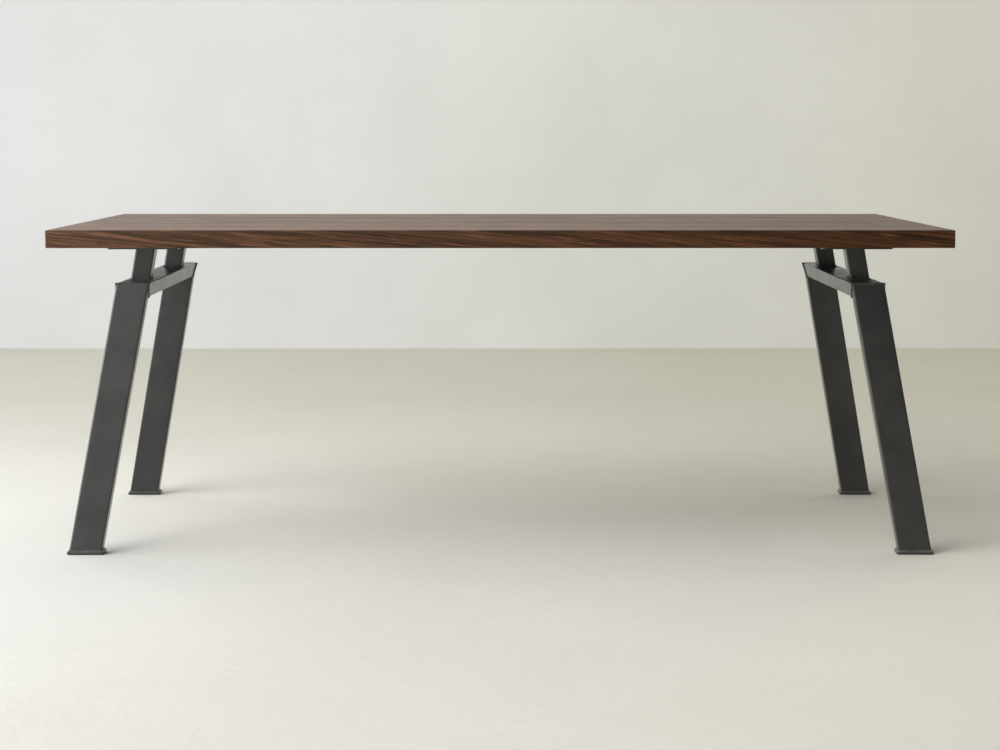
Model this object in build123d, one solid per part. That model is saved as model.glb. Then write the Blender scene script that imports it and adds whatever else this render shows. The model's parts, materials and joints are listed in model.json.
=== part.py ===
from build123d import *
import math
import os

# Butcher block table: a glued-up stave top on two welded steel end frames.
# Millimetres. +X runs along the table, +Y to its rear long side, +Z up.
# The origin is on the floor, under the middle of the top.

# Wooden top
TOP_LENGTH = 2100.0
TOP_WIDTH = 1000.0
TABLE_HEIGHT = 775.0
TOP_THICKNESS = 41.0
STAVE_COUNT = 25
TOP_EASE = 1.5

# Lie of the tubes: sideways run for each millimetre of drop
LEAN = 0.187
LEG_SPLAY = 0.062

# Rectangular tube of the legs and the crossbeam, measured level
TUBE_WIDTH = 77.5
TUBE_DEPTH = 35.0
TUBE_CORNER = 3.5
TUBE_WALL = 3.0

# Crossbeam: its level top, and its outer side and front end there
BEAM_TOP = 645.0
BEAM_OUTER_X = 908.9
BEAM_END_Y = 390.0

# Square stubs that carry the mounting plate, set a little outside the crossbeam's middle
STUB_SIZE = 46.5
STUB_OUTER_Y = 272.5
STUB_OFFSET = 2.4

# Mounting plate under the top
PLATE_THICKNESS = 8.0
PLATE_INNER_X = 760.0
PLATE_OUTER_X = 925.5
PLATE_END_Y = 405.0
PLATE_CORNER = 6.0

# Feet
FOOT_OVERHANG = 5.0
FOOT_THICKNESS = 8.0
FOOT_CORNER = 5.0
FOOT_BEVEL = 3.0
PAD_THICKNESS = 1.5
PAD_INSET = 1.0

# M8 countersunk screws, flush with the mounting plate, and their threaded inserts
SCREW_X = (784.0, 900.0)
SCREW_Y = (-360.0, 0.0, 360.0)
SCREW_RADIUS = 4.0
SCREW_LENGTH = 25.0
HEAD_RADIUS = 8.0
HEAD_HEIGHT = 4.0
SOCKET_RADIUS = 2.9
SOCKET_DEPTH = 2.6
HOLE_RADIUS = 4.5
SLOT_LENGTH = 19.0
SINK_DEPTH = 3.6
SINK_ANGLE = 45.0
INSERT_RADIUS = 6.0
INSERT_LENGTH = 18.0
POCKET_DEPTH = 20.0
THREAD_GAP = 0.05

# Heights that follow
TOP_UNDERSIDE = TABLE_HEIGHT - TOP_THICKNESS
PLATE_UNDERSIDE = TOP_UNDERSIDE - PLATE_THICKNESS
BEAM_UNDERSIDE = BEAM_TOP - TUBE_DEPTH
FOOT_TOP = PAD_THICKNESS + FOOT_THICKNESS
STAVE_WIDTH = TOP_WIDTH / STAVE_COUNT

SIDES = {"left": -1, "right": 1}
ROWS = {"front": -1, "rear": 1}


def stave_centre(index):
    """Y of a stave's middle; stave 0 is at the front."""
    return (index + 0.5) * STAVE_WIDTH - TOP_WIDTH / 2


def make_slab():
    """The whole top, with its outer edges eased, before it is divided into staves."""
    slab = Pos(0, 0, TABLE_HEIGHT) * Box(
        TOP_LENGTH, TOP_WIDTH, TOP_THICKNESS, align=(Align.CENTER, Align.CENTER, Align.MAX)
    )
    return fillet(slab.edges(), TOP_EASE)


def make_stave(slab, index):
    """One full-length stave, with blind pockets where the threaded inserts go in."""
    middle = stave_centre(index)
    cutter = Pos(0, middle, TOP_UNDERSIDE + TOP_THICKNESS / 2) * Box(
        TOP_LENGTH + 10, STAVE_WIDTH, TOP_THICKNESS + 10
    )
    stave = slab & cutter
    for x, y in screw_places(-1) + screw_places(1):
        if abs(y - middle) < STAVE_WIDTH / 2:
            stave -= rod(x, y, TOP_UNDERSIDE, TOP_UNDERSIDE + POCKET_DEPTH, INSERT_RADIUS)
    return stave


def screw_places(side):
    return [(side * x, y) for x in SCREW_X for y in SCREW_Y]


def rod(x, y, low, high, radius):
    """An upright cylinder from one height to another."""
    return Pos(x, y, low) * Cylinder(
        radius, high - low, align=(Align.CENTER, Align.CENTER, Align.MIN)
    )


def leaning_tube(width, depth, x, y, high, low, lean, splay):
    """A hollow tube with level ends: (x, y) is its middle at the upper end."""
    section = RectangleRounded(width, depth, TUBE_CORNER)
    section -= RectangleRounded(
        width - 2 * TUBE_WALL, depth - 2 * TUBE_WALL, TUBE_CORNER - TUBE_WALL
    )
    run = Vector(lean, splay, -1) * (high - low)
    return extrude(Pos(x, y, high) * section, amount=run.length, dir=run.normalized())


def mitre_plane(row):
    """The plane between crossbeam and leg, facing the crossbeam."""
    inner_y = BEAM_END_Y - TUBE_DEPTH + LEG_SPLAY * TUBE_DEPTH
    across = BEAM_END_Y - inner_y
    return Plane(
        origin=(0, row * BEAM_END_Y, BEAM_TOP),
        x_dir=(1, 0, 0),
        z_dir=(0, -row * TUBE_DEPTH, across),
    )


def make_crossbeam(side):
    """Level tube along Y: its sides lean as the legs do, its ends are mitred."""
    inner = BEAM_OUTER_X - TUBE_WIDTH
    shift = LEAN * TUBE_DEPTH
    corners = [
        (side * inner, BEAM_TOP),
        (side * BEAM_OUTER_X, BEAM_TOP),
        (side * (BEAM_OUTER_X + shift), BEAM_UNDERSIDE),
        (side * (inner + shift), BEAM_UNDERSIDE),
    ]
    outline = make_face(Plane.XZ * Polyline(*corners, close=True))
    outline = fillet(outline.vertices(), TUBE_CORNER)
    hollow = offset(outline, amount=-TUBE_WALL)
    beam = extrude(outline, amount=BEAM_END_Y, both=True)
    beam -= extrude(hollow, amount=BEAM_END_Y, both=True)
    for row in ROWS.values():
        beam = split(beam, bisect_by=mitre_plane(row), keep=Keep.TOP)
    return beam


def make_leg(side, row):
    """Leaning tube, mitred to the crossbeam and cut level on its foot plate."""
    x = side * (BEAM_OUTER_X - TUBE_WIDTH / 2)
    y = row * (BEAM_END_Y - TUBE_DEPTH / 2)
    tube = leaning_tube(
        TUBE_WIDTH, TUBE_DEPTH, x, y, BEAM_TOP, FOOT_TOP, side * LEAN, row * LEG_SPLAY
    )
    return split(tube, bisect_by=mitre_plane(row), keep=Keep.BOTTOM)


def make_stub(side, row):
    """Square tube between the crossbeam and the mounting plate, leaning with the legs."""
    foot_x = BEAM_OUTER_X - TUBE_WIDTH / 2 + STUB_OFFSET
    x = side * (foot_x - LEAN * (PLATE_UNDERSIDE - BEAM_TOP))
    y = row * (STUB_OUTER_Y - STUB_SIZE / 2)
    return leaning_tube(STUB_SIZE, STUB_SIZE, x, y, PLATE_UNDERSIDE, BEAM_TOP, side * LEAN, 0)


def make_mounting_plate(side):
    """Flat plate, countersunk from below: round holes at the middle, slots at the ends."""
    middle_x = side * (PLATE_INNER_X + PLATE_OUTER_X) / 2
    outline = RectangleRounded(PLATE_OUTER_X - PLATE_INNER_X, 2 * PLATE_END_Y, PLATE_CORNER)
    plate = extrude(Pos(middle_x, 0, PLATE_UNDERSIDE) * outline, amount=PLATE_THICKNESS)
    for x, y in screw_places(side):
        place = Pos(x, y, PLATE_UNDERSIDE)
        plate -= extrude(place * screw_hole(y, 0), amount=PLATE_THICKNESS)
        plate -= extrude(place * screw_hole(y, SINK_DEPTH), amount=SINK_DEPTH, taper=SINK_ANGLE)
    return plate


def screw_hole(y, wider):
    """Outline of a plate hole: a slot along Y, or a circle where the screw can't shift."""
    radius = HOLE_RADIUS + wider
    if y == 0:
        return Circle(radius)
    return Rot(0, 0, 90) * SlotOverall(SLOT_LENGTH + 2 * wider, 2 * radius)


def foot_centre(side, row):
    """Middle of a leg where it stands on its foot plate."""
    drop = BEAM_TOP - FOOT_TOP
    x = BEAM_OUTER_X - TUBE_WIDTH / 2 + LEAN * drop
    y = BEAM_END_Y - TUBE_DEPTH / 2 + LEG_SPLAY * drop
    return side * x, row * y


def foot_outline(side, row, overhang):
    x, y = foot_centre(side, row)
    return Pos(x, y, 0) * RectangleRounded(
        TUBE_WIDTH + 2 * overhang, TUBE_DEPTH + 2 * overhang, FOOT_CORNER
    )


def make_foot_plate(side, row):
    """Plate welded under a leg, standing out all round, its upper edge bevelled."""
    outline = foot_outline(side, row, FOOT_OVERHANG)
    plate = Pos(0, 0, PAD_THICKNESS) * extrude(outline, amount=FOOT_THICKNESS)
    return chamfer(plate.faces().sort_by(Axis.Z)[-1].edges(), FOOT_BEVEL)


def make_floor_pad(side, row):
    """Thin pad stuck under the foot plate."""
    return extrude(foot_outline(side, row, FOOT_OVERHANG - PAD_INSET), amount=PAD_THICKNESS)


def make_screw(x, y):
    """Countersunk screw, its head down, with a hexagon socket."""
    head = Pos(x, y, PLATE_UNDERSIDE) * Cone(
        HEAD_RADIUS, SCREW_RADIUS, HEAD_HEIGHT, align=(Align.CENTER, Align.CENTER, Align.MIN)
    )
    shank_low = PLATE_UNDERSIDE + HEAD_HEIGHT
    screw = head + rod(x, y, shank_low, PLATE_UNDERSIDE + SCREW_LENGTH, SCREW_RADIUS)
    socket = Pos(x, y, PLATE_UNDERSIDE) * RegularPolygon(SOCKET_RADIUS, 6)
    return screw - extrude(socket, amount=SOCKET_DEPTH)


def make_insert(x, y):
    """Threaded insert, flush with the underside of the top."""
    high = TOP_UNDERSIDE + INSERT_LENGTH
    body = rod(x, y, TOP_UNDERSIDE, high, INSERT_RADIUS)
    return body - rod(x, y, TOP_UNDERSIDE, high, SCREW_RADIUS + THREAD_GAP)


def group(make, side):
    """The same fastener at each screw place of one side, as separate solids."""
    return Compound(children=[Solid(make(x, y).solid().wrapped) for x, y in screw_places(side)])


def save(shape, node):
    export_step(shape, f"parts/{node}.step")


def build_top():
    slab = make_slab()
    for index in range(STAVE_COUNT):
        save(make_stave(slab, index), f"stave_{index + 1:02d}")


def build_frame(name, side):
    save(make_mounting_plate(side), f"{name}_mounting_plate")
    save(make_crossbeam(side), f"{name}_crossbeam")
    for place, row in ROWS.items():
        save(make_stub(side, row), f"{name}_{place}_stub")
        save(make_leg(side, row), f"{name}_{place}_leg")
        save(make_foot_plate(side, row), f"{name}_{place}_foot_plate")
        save(make_floor_pad(side, row), f"{name}_{place}_floor_pad")
    save(group(make_screw, side), f"{name}_screws")
    save(group(make_insert, side), f"{name}_inserts")


build_top()
for side_name, side_sign in SIDES.items():
    build_frame(side_name, side_sign)
print("leg lean", round(math.degrees(math.atan(LEAN)), 2), "degrees")
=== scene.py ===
import json
import math
import random

import bmesh
import bpy
from mathutils import Matrix, Vector


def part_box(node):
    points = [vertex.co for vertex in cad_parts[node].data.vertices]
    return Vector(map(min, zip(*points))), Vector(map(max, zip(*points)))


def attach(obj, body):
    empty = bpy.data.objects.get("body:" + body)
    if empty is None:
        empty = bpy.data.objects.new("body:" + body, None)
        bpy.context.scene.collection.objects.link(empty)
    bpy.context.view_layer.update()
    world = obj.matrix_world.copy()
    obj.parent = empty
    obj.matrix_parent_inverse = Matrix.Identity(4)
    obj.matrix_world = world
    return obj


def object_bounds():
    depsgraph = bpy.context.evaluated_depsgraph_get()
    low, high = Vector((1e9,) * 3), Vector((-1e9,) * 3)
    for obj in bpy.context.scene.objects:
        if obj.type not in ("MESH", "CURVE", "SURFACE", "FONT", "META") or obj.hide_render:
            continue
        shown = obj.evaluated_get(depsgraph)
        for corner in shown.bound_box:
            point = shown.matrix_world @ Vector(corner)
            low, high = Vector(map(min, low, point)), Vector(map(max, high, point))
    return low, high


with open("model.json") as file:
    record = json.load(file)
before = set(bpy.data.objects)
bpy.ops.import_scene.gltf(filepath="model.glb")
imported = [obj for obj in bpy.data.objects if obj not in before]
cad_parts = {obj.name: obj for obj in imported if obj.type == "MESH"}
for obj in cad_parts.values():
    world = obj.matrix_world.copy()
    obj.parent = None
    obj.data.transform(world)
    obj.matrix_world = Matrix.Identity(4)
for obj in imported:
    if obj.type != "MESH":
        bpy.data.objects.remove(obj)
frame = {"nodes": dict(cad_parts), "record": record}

# Butcher block table: looks for the walnut top and the two powder-coated end frames.
# Metres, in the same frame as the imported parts: +X along the table, +Y to its rear, +Z up.

CAD_LOW, CAD_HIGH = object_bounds()

# The top and its staves
TOP_LOW, TOP_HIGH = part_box("stave_01")
STAVE_WIDTH = TOP_HIGH.y - TOP_LOW.y
STAVE_COUNT = round((CAD_HIGH.y - CAD_LOW.y) / STAVE_WIDTH)
TOP_MIDDLE = (TOP_LOW.z + TOP_HIGH.z) / 2

# Tone of the front stave, 0 light to 1 dark, and the step from each stave to the next
FRONT_STAVE_TONE = 0.80
GOLDEN_STEP = 0.618034

# The tubes: sideways run for each unit of drop
LEAN = 0.187
LEG_SPLAY = 0.062

SIDES = {"left": -1, "right": 1}
ROWS = {"front": -1, "rear": 1}

CAMERA_PLACE = Vector((-0.0094, -5.2437, 0.9932))
CAMERA_DIP = math.radians(6.66)
CAMERA_TURN = math.radians(-0.1)
CAMERA_LENS = 73.97
WALL_Y = 4.34


# ---------------------------------------------------------------- shader helpers

def add(tree, kind, inputs=None, **settings):
    """A node with its settings and its inputs, each a value or another node's output."""
    node = tree.nodes.new(kind)
    for name, value in settings.items():
        setattr(node, name, value)
    for name, value in (inputs or {}).items():
        if isinstance(value, bpy.types.NodeSocket):
            tree.links.new(value, node.inputs[name])
        else:
            node.inputs[name].default_value = value
    return node


def maths(tree, operation, a, b=0.0, c=0.0, clamp=False):
    node = add(tree, "ShaderNodeMath", {0: a, 1: b, 2: c}, operation=operation)
    node.use_clamp = clamp
    return node.outputs[0]


def spread(tree, value, low, high, to_low=0.0, to_high=1.0, smooth=True):
    """Takes value from low..high to to_low..to_high, held at both ends."""
    node = add(
        tree, "ShaderNodeMapRange",
        {"Value": value, "From Min": low, "From Max": high, "To Min": to_low, "To Max": to_high},
    )
    node.interpolation_type = "SMOOTHSTEP" if smooth else "LINEAR"
    return node.outputs["Result"]


def mix(tree, factor, a, b, blend="MIX"):
    node = add(tree, "ShaderNodeMix", data_type="RGBA", blend_type=blend)
    for socket, value in ((node.inputs[0], factor), (node.inputs[6], a), (node.inputs[7], b)):
        if isinstance(value, bpy.types.NodeSocket):
            tree.links.new(value, socket)
        else:
            socket.default_value = value
    return node.outputs[2]


def noise(tree, vector, scale, detail=2.0, roughness=0.5):
    node = add(
        tree, "ShaderNodeTexNoise",
        {"Vector": vector, "Scale": scale, "Detail": detail, "Roughness": roughness},
    )
    return node.outputs["Fac"]


def stretched(tree, vector, x, y, z):
    """The vector with each axis scaled: a pattern read there is long where the scale is small."""
    return add(
        tree, "ShaderNodeVectorMath", {0: vector, 1: (x, y, z)}, operation="MULTIPLY"
    ).outputs[0]


def group(name, inputs, outputs):
    """An empty shader group. inputs and outputs map a name to FLOAT, VECTOR or COLOR."""
    tree = bpy.data.node_groups.new(name, "ShaderNodeTree")
    for direction, sockets in (("INPUT", inputs), ("OUTPUT", outputs)):
        for label, (kind, value) in sockets.items():
            socket = tree.interface.new_socket(
                name=label, in_out=direction,
                socket_type={"FLOAT": "NodeSocketFloat", "VECTOR": "NodeSocketVector",
                             "COLOR": "NodeSocketColor"}[kind],
            )
            if value is not None:
                socket.default_value = value
    return tree, add(tree, "NodeGroupInput").outputs, add(tree, "NodeGroupOutput").inputs


def place_group(tree, made, inputs):
    return add(tree, "ShaderNodeGroup", inputs, node_tree=made).outputs


def new_material(name):
    material = bpy.data.materials.new(name)
    material.use_nodes = True
    tree = material.node_tree
    tree.nodes.clear()
    shader = add(tree, "ShaderNodeBsdfPrincipled")
    output = add(tree, "ShaderNodeOutputMaterial")
    tree.links.new(shader.outputs[0], output.inputs["Surface"])
    where = add(tree, "ShaderNodeTexCoord").outputs["Object"]
    return material, tree, shader, where


def relief(tree, shader, height, distance, strength=1.0):
    bump = add(
        tree, "ShaderNodeBump", {"Height": height, "Distance": distance, "Strength": strength}
    )
    tree.links.new(bump.outputs[0], shader.inputs["Normal"])


# ---------------------------------------------------------------- shared effects

# No glue line is drawn nearer than this to the long sides of the top
EDGE_MARGIN = 0.004


def make_stave_figure():
    """Rings, fibre, streaks, flecks, tone, pores and glue lines of staves cut from many boards.

    Each stave takes its own piece of tree: a pith line beside it, at its own place and slant,
    with rings round it. The figure then agrees on the faces, edges and ends.
    """
    tree, given, out = group(
        "stave_figure",
        {"Vector": ("VECTOR", None), "Ring Width": ("FLOAT", 0.008)},
        {"Rings": ("FLOAT", None), "Fibre": ("FLOAT", None), "Streaks": ("FLOAT", None),
         "Flecks": ("FLOAT", None), "Tone": ("FLOAT", None), "Pores": ("FLOAT", None),
         "Glue Lines": ("FLOAT", None)},
    )
    x, y, z = add(tree, "ShaderNodeSeparateXYZ", {0: given["Vector"]}).outputs[:3]
    across = maths(tree, "DIVIDE", maths(tree, "SUBTRACT", y, CAD_LOW.y), STAVE_WIDTH)
    stave = maths(tree, "FLOOR", across)
    stave = maths(tree, "MINIMUM", maths(tree, "MAXIMUM", stave, 0.0), STAVE_COUNT - 1.0)
    in_y = maths(tree, "SUBTRACT", across, maths(tree, "ADD", stave, 0.5))
    in_y = maths(tree, "MULTIPLY", in_y, STAVE_WIDTH)
    in_z = maths(tree, "SUBTRACT", z, TOP_MIDDLE)

    def draw(seed):
        w = maths(tree, "MULTIPLY_ADD", stave, 7.31, seed)
        node = add(tree, "ShaderNodeTexWhiteNoise", {"W": w}, noise_dimensions="1D")
        return add(tree, "ShaderNodeSeparateColor", {0: node.outputs["Color"]}).outputs[:3]

    place, slant, board = draw(3.7), draw(11.3), draw(23.9)
    shade = maths(tree, "FRACT", maths(tree, "MULTIPLY_ADD", stave, GOLDEN_STEP, FRONT_STAVE_TONE))
    slope_y = maths(tree, "MULTIPLY_ADD", slant[0], 0.05, -0.025)
    slope_z = maths(tree, "MULTIPLY_ADD", slant[1], 0.05, -0.105)
    in_y = maths(tree, "SUBTRACT", in_y, maths(tree, "MULTIPLY", x, slope_y))
    in_z = maths(tree, "SUBTRACT", in_z, maths(tree, "MULTIPLY", x, slope_z))
    shifted = maths(tree, "ADD", x, maths(tree, "MULTIPLY", board[0], 40.0))
    along = add(tree, "ShaderNodeCombineXYZ", {0: shifted, 1: in_y, 2: in_z}).outputs[0]

    slow = noise(tree, stretched(tree, along, 1.3, 9.0, 9.0), 1.0, 2.0)
    quick = noise(tree, stretched(tree, along, 6.0, 60.0, 60.0), 1.0, 3.0)
    pith_y = maths(tree, "MULTIPLY_ADD", place[0], 0.12, -0.06)
    pith_z = maths(tree, "MULTIPLY_ADD", place[1], -0.08, -0.06)
    away_y = maths(tree, "SUBTRACT", in_y, pith_y)
    away_z = maths(tree, "SUBTRACT", in_z, pith_z)
    radius = maths(
        tree, "SQRT",
        maths(tree, "ADD", maths(tree, "MULTIPLY", away_y, away_y),
              maths(tree, "MULTIPLY", away_z, away_z)),
    )
    radius = maths(tree, "MULTIPLY_ADD", slow, 0.030, radius)
    radius = maths(tree, "MULTIPLY_ADD", quick, 0.0035, radius)
    turn = maths(tree, "DIVIDE", radius, given["Ring Width"])
    uneven = add(
        tree, "ShaderNodeTexNoise",
        {"W": maths(tree, "ADD", turn, maths(tree, "MULTIPLY", board[1], 50.0)),
         "Scale": 0.45, "Detail": 1.0},
        noise_dimensions="1D",
    ).outputs["Fac"]
    turn = maths(tree, "MULTIPLY_ADD", uneven, 2.6, turn)
    season = maths(tree, "FRACT", turn)
    late = spread(tree, season, 0.25, 0.88)
    early = spread(tree, season, 0.94, 1.0, 1.0, 0.0)
    rings = maths(tree, "MULTIPLY", late, early)
    fibre = noise(tree, stretched(tree, along, 9.0, 420.0, 420.0), 1.0, 4.0, 0.62)
    streaks = noise(tree, stretched(tree, along, 1.1, 70.0, 70.0), 1.0, 4.0, 0.6)
    flecks = noise(tree, stretched(tree, along, 5.5, 210.0, 210.0), 1.0, 3.0, 0.6)
    tone = maths(tree, "MULTIPLY_ADD", shade, 0.6, maths(tree, "MULTIPLY", slow, 0.4))
    pores = noise(tree, stretched(tree, along, 70.0, 1500.0, 1500.0), 1.0, 2.0)
    pores = spread(tree, pores, 0.60, 0.70)
    open_wood = maths(tree, "MULTIPLY_ADD", rings, -0.7, 1.0)
    to_joint = maths(tree, "ABSOLUTE", maths(tree, "SUBTRACT", maths(tree, "FRACT", across), 0.5))
    glue = spread(tree, to_joint, 0.490, 0.497)
    inside = maths(tree, "LESS_THAN", maths(tree, "ABSOLUTE", y), CAD_HIGH.y - EDGE_MARGIN)

    tree.links.new(rings, out["Rings"])
    tree.links.new(fibre, out["Fibre"])
    tree.links.new(streaks, out["Streaks"])
    tree.links.new(flecks, out["Flecks"])
    tree.links.new(tone, out["Tone"])
    tree.links.new(maths(tree, "MULTIPLY", pores, open_wood), out["Pores"])
    tree.links.new(maths(tree, "MULTIPLY", glue, inside), out["Glue Lines"])
    return tree


def make_worn_and_highlit_edges():
    """1 where a surface turns a corner, broken up by noise."""
    tree, given, out = group(
        "worn_and_highlit_edges",
        {"Vector": ("VECTOR", None), "Width": ("FLOAT", 0.002), "Grain": ("FLOAT", 180.0)},
        {"Edges": ("FLOAT", None)},
    )
    rounded = add(tree, "ShaderNodeBevel", {"Radius": given["Width"]}, samples=4)
    flat = add(tree, "ShaderNodeNewGeometry").outputs["True Normal"]
    match = add(
        tree, "ShaderNodeVectorMath", {0: rounded.outputs[0], 1: flat}, operation="DOT_PRODUCT"
    ).outputs["Value"]
    edges = spread(tree, match, 0.995, 0.90)
    broken = spread(tree, noise(tree, given["Vector"], given["Grain"], 3.0), 0.35, 0.6)
    tree.links.new(maths(tree, "MULTIPLY", edges, broken), out["Edges"])
    return tree


def make_dust_and_highlight():
    """Fine dust and a painted highlight on faces that look up, most of all on those near the floor.
    """
    tree, given, out = group(
        "dust_highlight_group",
        {"Vector": ("VECTOR", None), "Floor Reach": ("FLOAT", 0.08)},
        {"Dust And Highlight": ("FLOAT", None)},
    )
    z = add(tree, "ShaderNodeSeparateXYZ", {0: given["Vector"]}).outputs[2]
    normal = add(tree, "ShaderNodeNewGeometry").outputs["Normal"]
    up = add(tree, "ShaderNodeSeparateXYZ", {0: normal}).outputs[2]
    low = maths(tree, "SUBTRACT", 1.0, maths(tree, "DIVIDE", z, given["Floor Reach"]), clamp=True)
    level = spread(tree, up, 0.45, 0.9)
    both = maths(tree, "MULTIPLY", level, low)
    amount = maths(tree, "MULTIPLY_ADD", level, 0.20, maths(tree, "MULTIPLY", low, 0.03))
    # Painted highlight: up-facing faces near the floor, such as the foot plates' bevels, get the
    # most
    amount = maths(tree, "MULTIPLY_ADD", both, 0.9, amount)
    patchy = spread(tree, noise(tree, given["Vector"], 26.0, 5.0, 0.65), 0.35, 0.7, 0.35, 1.0)
    tree.links.new(maths(tree, "MULTIPLY", amount, patchy, clamp=True), out["Dust And Highlight"])
    return tree


# ---------------------------------------------------------------- materials

BOARD_LIGHT = (0.340, 0.152, 0.064, 1)
BOARD_DARK = (0.132, 0.060, 0.028, 1)
STREAK_RED = (0.210, 0.078, 0.036, 1)
STREAK_DARK = (0.046, 0.023, 0.014, 1)
LATE_WOOD = (0.038, 0.019, 0.011, 1)
FLECK_LIGHT = (0.275, 0.120, 0.061, 1)
FLECK_DARK = (0.036, 0.018, 0.011, 1)
FIBRE_SHADE = (0.60, 0.54, 0.5, 1)
PORE = (0.010, 0.006, 0.004, 1)
GLUE = (0.014, 0.008, 0.006, 1)
# Painted shade that the wood is multiplied by on its sides and ends, and at the right end of the
# top
FLANK_PAINTED_SHADE = (0.59, 0.64, 0.74, 1)
RIGHT_END_PAINTED_SHADE = (0.61, 0.50, 0.39, 1)
# Where, along the top, the painted shade towards the right end begins and stops
PAINTED_SHADE_FROM, PAINTED_SHADE_TO = -0.9, 0.9


def walnut_colour(tree, figure, where):
    """Board tone, then streaks, rings, flecks, fibre, pores, glue lines and painted shade over it.
    """
    def over(below, mask, colour, blend="MIX"):
        return mix(tree, mask, below, colour, blend)

    tone, streaks, flecks = figure["Tone"], figure["Streaks"], figure["Flecks"]
    wood = mix(tree, spread(tree, tone, 0.2, 0.8), BOARD_LIGHT, BOARD_DARK)
    wood = over(wood, spread(tree, streaks, 0.50, 0.70, 0.0, 0.6), STREAK_RED)
    wood = over(wood, spread(tree, streaks, 0.49, 0.32), STREAK_DARK)
    wood = over(wood, maths(tree, "MULTIPLY", figure["Rings"], 0.70), LATE_WOOD)
    wood = over(wood, spread(tree, flecks, 0.53, 0.68, 0.0, 0.80), FLECK_LIGHT)
    wood = over(wood, spread(tree, flecks, 0.46, 0.34, 0.0, 0.70), FLECK_DARK)
    fibre = spread(tree, figure["Fibre"], 0.3, 0.7, 0.0, 0.55)
    wood = over(wood, fibre, FIBRE_SHADE, "MULTIPLY")
    wood = over(wood, maths(tree, "MULTIPLY", figure["Pores"], 0.7), PORE)
    wood = over(wood, maths(tree, "MULTIPLY", figure["Glue Lines"], 0.45), GLUE)
    normal = add(tree, "ShaderNodeNewGeometry").outputs["Normal"]
    up = add(tree, "ShaderNodeSeparateXYZ", {0: normal}).outputs[2]
    # Painted shade: the sides and ends are darker and cooler than the top, because less light falls
    # on them
    wood = over(wood, spread(tree, up, 0.9, 0.5), FLANK_PAINTED_SHADE, "MULTIPLY")
    # Painted shade: the wood darkens and warms towards the right end, as the light from the left
    # falls off
    along = add(tree, "ShaderNodeSeparateXYZ", {0: where}).outputs[0]
    painted_shade_to_right = spread(tree, along, PAINTED_SHADE_FROM, PAINTED_SHADE_TO, smooth=False)
    return over(wood, painted_shade_to_right, RIGHT_END_PAINTED_SHADE, "MULTIPLY")


def make_walnut(stave_figure):
    material, tree, shader, where = new_material("satin_walnut")
    figure = place_group(tree, stave_figure, {"Vector": where, "Ring Width": 0.0065})
    tree.links.new(walnut_colour(tree, figure, where), shader.inputs["Base Color"])
    shader.inputs["Specular IOR Level"].default_value = 0.13
    shader.inputs["Specular Tint"].default_value = (1.0, 0.95, 0.76, 1)
    fibre, pores = figure["Fibre"], figure["Pores"]
    sheen = spread(tree, fibre, 0.25, 0.75, 0.30, 0.38)
    sheen = maths(tree, "ADD", sheen, spread(tree, figure["Tone"], 0.2, 0.8, -0.03, 0.05))
    sheen = maths(tree, "ADD", sheen, spread(tree, figure["Streaks"], 0.35, 0.65, 0.05, -0.03))
    sheen = maths(tree, "MULTIPLY_ADD", pores, 0.18, sheen)
    tree.links.new(sheen, shader.inputs["Roughness"])
    height = maths(tree, "MULTIPLY_ADD", fibre, 0.35, maths(tree, "MULTIPLY", pores, -1.0))
    height = maths(tree, "MULTIPLY_ADD", figure["Rings"], 0.2, height)
    height = maths(tree, "MULTIPLY_ADD", figure["Glue Lines"], -0.4, height)
    relief(tree, shader, height, 0.0002, 0.6)
    return material


COAT_DARK = (0.0148, 0.0150, 0.0146, 1)
COAT_LIGHT = (0.0200, 0.0200, 0.0194, 1)
# Coat colour at its edges: partly rubbed thin, partly a painted highlight along the rounded edges
COAT_RUBBED_AND_HIGHLIT = (0.14, 0.14, 0.135, 1)
# Dust colour, also used as a painted highlight on up-facing faces such as the foot bevels
DUST_AND_HIGHLIGHT_COLOUR = (0.30, 0.28, 0.25, 1)


def make_powder_coat(worn_and_highlit_edges, dust_highlight_group):
    material, tree, shader, where = new_material("charcoal_powder_coat")
    edges = place_group(tree, worn_and_highlit_edges, {"Vector": where, "Width": 0.0016})["Edges"]
    dust_and_highlight = place_group(tree, dust_highlight_group, {"Vector": where})["Dust And Highlight"]
    cloudy = noise(tree, where, 14.0, 4.0)
    base = mix(tree, spread(tree, cloudy, 0.3, 0.7), COAT_DARK, COAT_LIGHT)
    # Painted highlight: the coat is lightened along its edges, partly as rubbing and partly for the
    # glints that rounded edges catch
    rubbed_and_highlit = mix(tree, maths(tree, "MULTIPLY", edges, 0.30), base, COAT_RUBBED_AND_HIGHLIT)
    # Partly dust, partly a painted highlight on faces that look up
    coat_with_dust_and_highlight = mix(tree, maths(tree, "MULTIPLY", dust_and_highlight, 0.42), rubbed_and_highlit, DUST_AND_HIGHLIGHT_COLOUR)
    tree.links.new(coat_with_dust_and_highlight, shader.inputs["Base Color"])
    peel = noise(tree, where, 520.0, 2.0)
    rough = spread(tree, cloudy, 0.25, 0.75, 0.21, 0.27)
    rough = maths(tree, "MULTIPLY_ADD", dust_and_highlight, 0.40, rough)
    tree.links.new(rough, shader.inputs["Roughness"])
    fine = maths(tree, "MULTIPLY_ADD", noise(tree, where, 1900.0, 1.0), 0.35, peel)
    relief(tree, shader, fine, 0.00012, 0.22)
    return material


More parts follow.
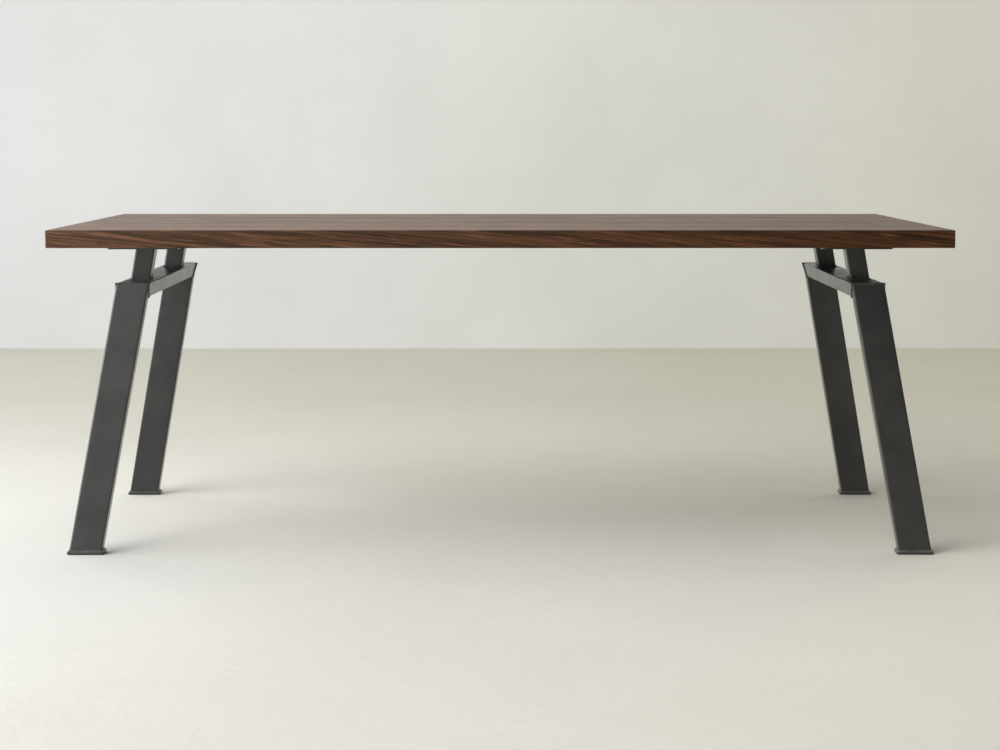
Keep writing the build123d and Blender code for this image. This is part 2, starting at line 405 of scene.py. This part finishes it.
def make_zinc(worn_and_highlit_edges):
    material, tree, shader, where = new_material("zinc_plate")
    edges = place_group(tree, worn_and_highlit_edges, {"Vector": where, "Width": 0.0006})["Edges"]
    stain = noise(tree, where, 220.0, 4.0)
    base = mix(tree, spread(tree, stain, 0.35, 0.7), (0.42, 0.42, 0.43, 1), (0.30, 0.30, 0.29, 1))
    tree.links.new(mix(tree, edges, base, (0.62, 0.62, 0.63, 1)), shader.inputs["Base Color"])
    tree.links.new(spread(tree, stain, 0.3, 0.75, 0.28, 0.5), shader.inputs["Roughness"])
    shader.inputs["Metallic"].default_value = 1.0
    relief(tree, shader, noise(tree, where, 2600.0, 2.0), 0.00003, 0.4)
    return material


def make_brass():
    material, tree, shader, where = new_material("machined_brass")
    turned = noise(tree, stretched(tree, where, 300.0, 300.0, 4000.0), 1.0, 2.0)
    base = mix(tree, spread(tree, turned, 0.3, 0.7), (0.55, 0.37, 0.13, 1), (0.70, 0.50, 0.21, 1))
    tree.links.new(base, shader.inputs["Base Color"])
    tree.links.new(spread(tree, turned, 0.3, 0.7, 0.25, 0.4), shader.inputs["Roughness"])
    shader.inputs["Metallic"].default_value = 1.0
    relief(tree, shader, turned, 0.00004, 0.5)
    return material


def make_rubber(dust_highlight_group):
    material, tree, shader, where = new_material("pad_rubber")
    dust_and_highlight = place_group(tree, dust_highlight_group, {"Vector": where, "Floor Reach": 0.01})["Dust And Highlight"]
    rubber, grime = (0.012, 0.012, 0.012, 1), (0.16, 0.15, 0.13, 1)
    base = mix(tree, maths(tree, "MULTIPLY", dust_and_highlight, 0.4), rubber, grime)
    tree.links.new(base, shader.inputs["Base Color"])
    rough = spread(tree, noise(tree, where, 90.0, 3.0), 0.3, 0.7, 0.75, 0.9)
    tree.links.new(rough, shader.inputs["Roughness"])
    relief(tree, shader, noise(tree, where, 900.0, 3.0), 0.0002, 0.5)
    return material


# ---------------------------------------------------------------- weld beads

BEAD_STEP = 0.001
BEAD_SIDES = 8
RIPPLE = 0.0034
SEAM_PAST = 0.0036
TOP_SEAM_SUNK = 0.0015
SIDE_SEAM_DROP = 0.002

# Radius of each bead
MITRE_TOP_BEAD = 0.0031
MITRE_UNDER_BEAD = 0.0026
MITRE_SIDE_BEAD = 0.0033
STUB_BASE_BEAD = 0.0030
STUB_HEAD_BEAD = 0.0024
FOOT_BEAD = 0.0016


def walk(corners):
    """Points a step apart along the straight runs between the corners, and the way at each."""
    points = []
    for start, end in zip(corners, corners[1:]):
        run = end - start
        count = max(1, round(run.length / BEAD_STEP))
        points += [(start + run * (i / count), run.normalized()) for i in range(count)]
    points.append((corners[-1], (corners[-1] - corners[-2]).normalized()))
    return points


def weld_bead(name, corners, radius, seed):
    """A rippled bead along a path: one ring extruded along it, swelling at each ripple."""
    chance = random.Random(seed)
    mesh = bmesh.new()
    stops = walk(corners)
    frames = []
    for i, (point, _) in enumerate(stops):
        ahead = stops[min(i + 2, len(stops) - 1)][0] - stops[max(i - 2, 0)][0]
        turn = ahead.to_track_quat("Z", "Y").to_matrix().to_4x4()
        phase = (i * BEAD_STEP / RIPPLE) % 1.0
        swell = 0.80 + 0.20 * math.sin(math.pi * phase) + chance.uniform(-0.03, 0.03)
        if i < 3 or i > len(stops) - 4:
            swell *= 0.75
        frames.append(Matrix.Translation(point) @ turn @ Matrix.Scale(radius * swell, 4))
    made = bmesh.ops.create_circle(
        mesh, cap_ends=True, radius=1.0, segments=BEAD_SIDES, matrix=frames[0]
    )
    face = made["verts"][0].link_faces[0]
    for before, after in zip(frames, frames[1:]):
        grown = bmesh.ops.extrude_discrete_faces(mesh, faces=[face])
        face = grown["faces"][0]
        bmesh.ops.transform(mesh, matrix=after @ before.inverted(), verts=list(face.verts))
    # The first face moved along with the bead, so a second one closes the near end
    bmesh.ops.create_circle(
        mesh, cap_ends=True, radius=1.0, segments=BEAD_SIDES, matrix=frames[0]
    )
    bmesh.ops.remove_doubles(mesh, verts=mesh.verts, dist=1e-6)
    bmesh.ops.recalc_face_normals(mesh, faces=mesh.faces)
    for f in mesh.faces:
        f.smooth = True
    data = bpy.data.meshes.new(name)
    mesh.to_mesh(data)
    mesh.free()
    bead = bpy.data.objects.new(name, data)
    bpy.context.scene.collection.objects.link(bead)
    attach(bead, "root")
    return bead


def level_loop(node, at_top):
    """Corners of a leaning tube's outline at its upper or lower end, as a closed loop."""
    low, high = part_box(node)
    side = 1 if low.x > 0 else -1
    row = 1 if low.y > 0 else -1
    splay = LEG_SPLAY if node.endswith("leg") else 0.0
    drop = high.z - low.z
    if at_top:
        outer_x = (high.x if side > 0 else -low.x) - LEAN * drop
        inner_x = low.x if side > 0 else -high.x
        outer_y = (high.y if row > 0 else -low.y) - splay * drop
        inner_y = low.y if row > 0 else -high.y
        z = high.z
    else:
        outer_x = high.x if side > 0 else -low.x
        inner_x = (low.x if side > 0 else -high.x) + LEAN * drop
        outer_y = high.y if row > 0 else -low.y
        inner_y = (low.y if row > 0 else -high.y) + splay * drop
        z = low.z
    xs = (side * inner_x, side * outer_x)
    ys = (row * inner_y, row * outer_y)
    corners = [(xs[0], ys[0]), (xs[1], ys[0]), (xs[1], ys[1]), (xs[0], ys[1]), (xs[0], ys[0])]
    return [Vector((x, y, z)) for x, y in corners]


def mitre_seams(side_name, row_name):
    """The four seams where the crossbeam meets a leg: each a straight path and its radius.

    The seams over and under the corner run past both sides of the tube by SEAM_PAST. The upper
    one is sunk into its corner, because it fills a groove there.
    """
    low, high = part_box(f"{side_name}_crossbeam")
    side, row = SIDES[side_name], ROWS[row_name]
    depth = high.z - low.z
    shift = LEAN * depth
    near = low.x if side > 0 else -high.x
    far = near + (high.x - low.x) - shift
    end_y = high.y
    inner_y = end_y - depth + LEG_SPLAY * depth
    top, under = [
        [Vector((side * (x + lean), row * y, z)) for x in (near - SEAM_PAST, far + SEAM_PAST)]
        for lean, y, z in (
            (0.0, end_y - TOP_SEAM_SUNK, high.z - TOP_SEAM_SUNK), (shift, inner_y, low.z),
        )
    ]
    inner, outer = [
        [Vector((side * x, row * end_y, high.z - SIDE_SEAM_DROP)),
         Vector((side * (x + shift), row * inner_y, low.z))]
        for x in (near, far)
    ]
    return {
        "top": (top, MITRE_TOP_BEAD), "under": (under, MITRE_UNDER_BEAD),
        "inner": (inner, MITRE_SIDE_BEAD), "outer": (outer, MITRE_SIDE_BEAD),
    }


def make_welds(coat):
    beads = []
    for side in SIDES:
        for row in ROWS:
            place = f"{side}_{row}"
            seams = {f"mitre_weld_{seam}": path for seam, path in mitre_seams(side, row).items()}
            seams["stub_weld_base"] = (level_loop(f"{place}_stub", False), STUB_BASE_BEAD)
            seams["stub_weld_head"] = (level_loop(f"{place}_stub", True), STUB_HEAD_BEAD)
            seams["foot_weld"] = (level_loop(f"{place}_leg", False), FOOT_BEAD)
            for seam, (path, radius) in seams.items():
                beads.append(weld_bead(f"{place}_{seam}", path, radius, len(beads)))
    for bead in beads:
        bead.data.materials.append(coat)


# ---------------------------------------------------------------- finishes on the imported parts

def finish_nodes(finishes):
    """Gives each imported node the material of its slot."""
    for part in frame["record"]["subparts"]:
        node = frame["nodes"][part["node"]]
        node.data.materials.clear()
        node.data.materials.append(finishes[part["material_slot"]])


# ---------------------------------------------------------------- studio

def one_sided(name, low, high, painted_falloffs):
    """A pale matte plaster that is clear from behind, so that it never hides the object.

    Each painted falloff is an axis, 0 for x or 1 for y, the places where it begins and ends, and
    the colour that it multiplies the plaster by at its end: painted shade where the light falls
    off.
    """
    material, tree, shader, where = new_material(name)
    mottled = noise(tree, where, 0.9, 5.0, 0.6)
    base = mix(tree, spread(tree, mottled, 0.3, 0.7), low, high)
    place = add(tree, "ShaderNodeSeparateXYZ", {0: where}).outputs
    # Painted shade: each falloff darkens the plaster along one axis
    for axis, begin, end, painted_shade_tint in painted_falloffs:
        towards = spread(tree, place[axis], begin, end, smooth=False)
        base = mix(tree, towards, base, painted_shade_tint, "MULTIPLY")
    tree.links.new(base, shader.inputs["Base Color"])
    shader.inputs["Roughness"].default_value = 0.85
    coarse, fine = noise(tree, where, 18.0, 6.0, 0.65), noise(tree, where, 110.0, 5.0, 0.7)
    trowelled = maths(tree, "MULTIPLY_ADD", fine, 0.12, coarse)
    relief(tree, shader, trowelled, 0.004, 0.28)
    clear = add(tree, "ShaderNodeBsdfTransparent").outputs[0]
    behind = add(tree, "ShaderNodeNewGeometry").outputs["Backfacing"]
    output = tree.nodes["Material Output"]
    both = add(tree, "ShaderNodeMixShader", {0: behind, 1: shader.outputs[0], 2: clear})
    tree.links.new(both.outputs[0], output.inputs["Surface"])
    return material


def stage_plane(name, size, matrix, material):
    mesh = bmesh.new()
    bmesh.ops.create_grid(mesh, x_segments=1, y_segments=1, size=size / 2, matrix=matrix)
    data = bpy.data.meshes.new(name)
    mesh.to_mesh(data)
    mesh.free()
    data.materials.append(material)
    plane = bpy.data.objects.new(name, data)
    bpy.context.scene.collection.objects.link(plane)


def area_light(name, place, target, size, power, colour):
    """A rectangular light at a place, turned to face the target, with its power in watts."""
    data = bpy.data.lights.new(name, "AREA")
    data.shape = "RECTANGLE"
    data.size, data.size_y = size
    data.energy = power
    data.color = colour
    lamp = bpy.data.objects.new(name, data)
    lamp.location = place
    lamp.rotation_euler = (Vector(target) - Vector(place)).to_track_quat("-Z", "Y").to_euler()
    bpy.context.scene.collection.objects.link(lamp)


def sky(lobes):
    """Soft light from far off. Each lobe is a way, a colour, a strength and how narrow it is."""
    world = bpy.data.worlds.new("studio_air")
    bpy.context.scene.world = world
    world.use_nodes = True
    tree = world.node_tree
    way = add(tree, "ShaderNodeTexCoord").outputs["Generated"]
    total = (0.0, 0.0, 0.0)
    for towards, colour, strength, narrow in lobes:
        facing = add(
            tree, "ShaderNodeVectorMath", {0: way, 1: Vector(towards).normalized()},
            operation="DOT_PRODUCT",
        ).outputs["Value"]
        lobe = maths(tree, "POWER", maths(tree, "MAXIMUM", facing, 0.0), narrow)
        tinted = add(
            tree, "ShaderNodeVectorMath", {0: Vector(colour) * strength}, operation="SCALE"
        )
        tree.links.new(lobe, tinted.inputs["Scale"])
        total = add(tree, "ShaderNodeVectorMath", {0: tinted.outputs[0], 1: total}, operation="ADD")
        total = total.outputs[0]
    tree.links.new(total, tree.nodes["Background"].inputs["Color"])


STAGE_SIZE = 40.0
MIDDLE = (0.0, 0.0, 0.4)
NEAR_LEFT = (-0.7, 0.0, 0.4)

# Name, place, what it faces, size, watts and colour
WINDOWS = (
    ("far_window", (-6.0, -3.2, 4.5), MIDDLE, (4.0, 4.0), 104.0, (0.78, 0.92, 1.0)),
    ("rear_window", (-3.5, 2.5, 2.6), MIDDLE, (2.0, 2.0), 26.0, (0.98, 0.99, 1.0)),
    ("near_window", (-2.8, -3.0, 0.8), NEAR_LEFT, (1.2, 1.4), 40.0, (0.82, 0.90, 1.0)),
    ("low_window", (-3.2, -0.3, 1.1), MIDDLE, (1.6, 1.6), 26.0, (0.85, 0.94, 1.0)),
)


def make_studio():
    # Painted shade on the floor: darker and warmer towards the wall, towards the right and towards
    # the front
    floor = one_sided(
        "floor_plaster", (0.734, 0.710, 0.675, 1), (0.772, 0.748, 0.715, 1),
        ((1, -0.8, 2.6, (0.74, 0.735, 0.68, 1)), (0, -1.5, 2.5, (0.925, 0.91, 0.85, 1)),
         (1, -0.5, -2.2, (0.95, 0.94, 0.93, 1))),
    )
    stage_plane("studio_floor", STAGE_SIZE, Matrix.Identity(4), floor)
    # Painted shade on the wall: darker and warmer towards the right, away from the light on the
    # left
    wall = one_sided(
        "wall_plaster", (0.541, 0.540, 0.554, 1), (0.584, 0.583, 0.600, 1),
        ((0, -2.3, 2.3, (0.875, 0.865, 0.775, 1)),),
    )
    raised = Matrix.Translation((0, WALL_Y, STAGE_SIZE / 2))
    upright = raised @ Matrix.Rotation(math.radians(90), 4, "X")
    stage_plane("studio_wall", STAGE_SIZE, upright, wall)
    sky((
        ((-1.0, -0.3, 0.3), (1.0, 1.0, 0.98), 2.78, 2.0),
        ((-0.7, -0.7, 0.1), (1.05, 1.03, 0.95), 6.1, 12.0),
    ))
    for window in WINDOWS:
        area_light(*window)


def make_camera():
    data = bpy.data.cameras.new("camera")
    data.lens = CAMERA_LENS
    data.sensor_width = 36.0
    camera = bpy.data.objects.new("camera", data)
    camera.location = CAMERA_PLACE
    camera.rotation_euler = (math.pi / 2 - CAMERA_DIP, 0.0, CAMERA_TURN)
    bpy.context.scene.collection.objects.link(camera)
    bpy.context.scene.camera = camera


# ---------------------------------------------------------------- making

make_camera()
figure = make_stave_figure()
rub_and_highlight = make_worn_and_highlit_edges()
dust_and_highlight = make_dust_and_highlight()
walnut = make_walnut(figure)
coat = make_powder_coat(rub_and_highlight, dust_and_highlight)
finish_nodes({
    "walnut": walnut,
    "black_steel": coat,
    "floor_pad": make_rubber(dust_and_highlight),
    "fastener": make_zinc(rub_and_highlight),
    "insert": make_brass(),
})
make_welds(coat)
make_studio()
bpy.context.scene.view_settings.view_transform = "Standard"
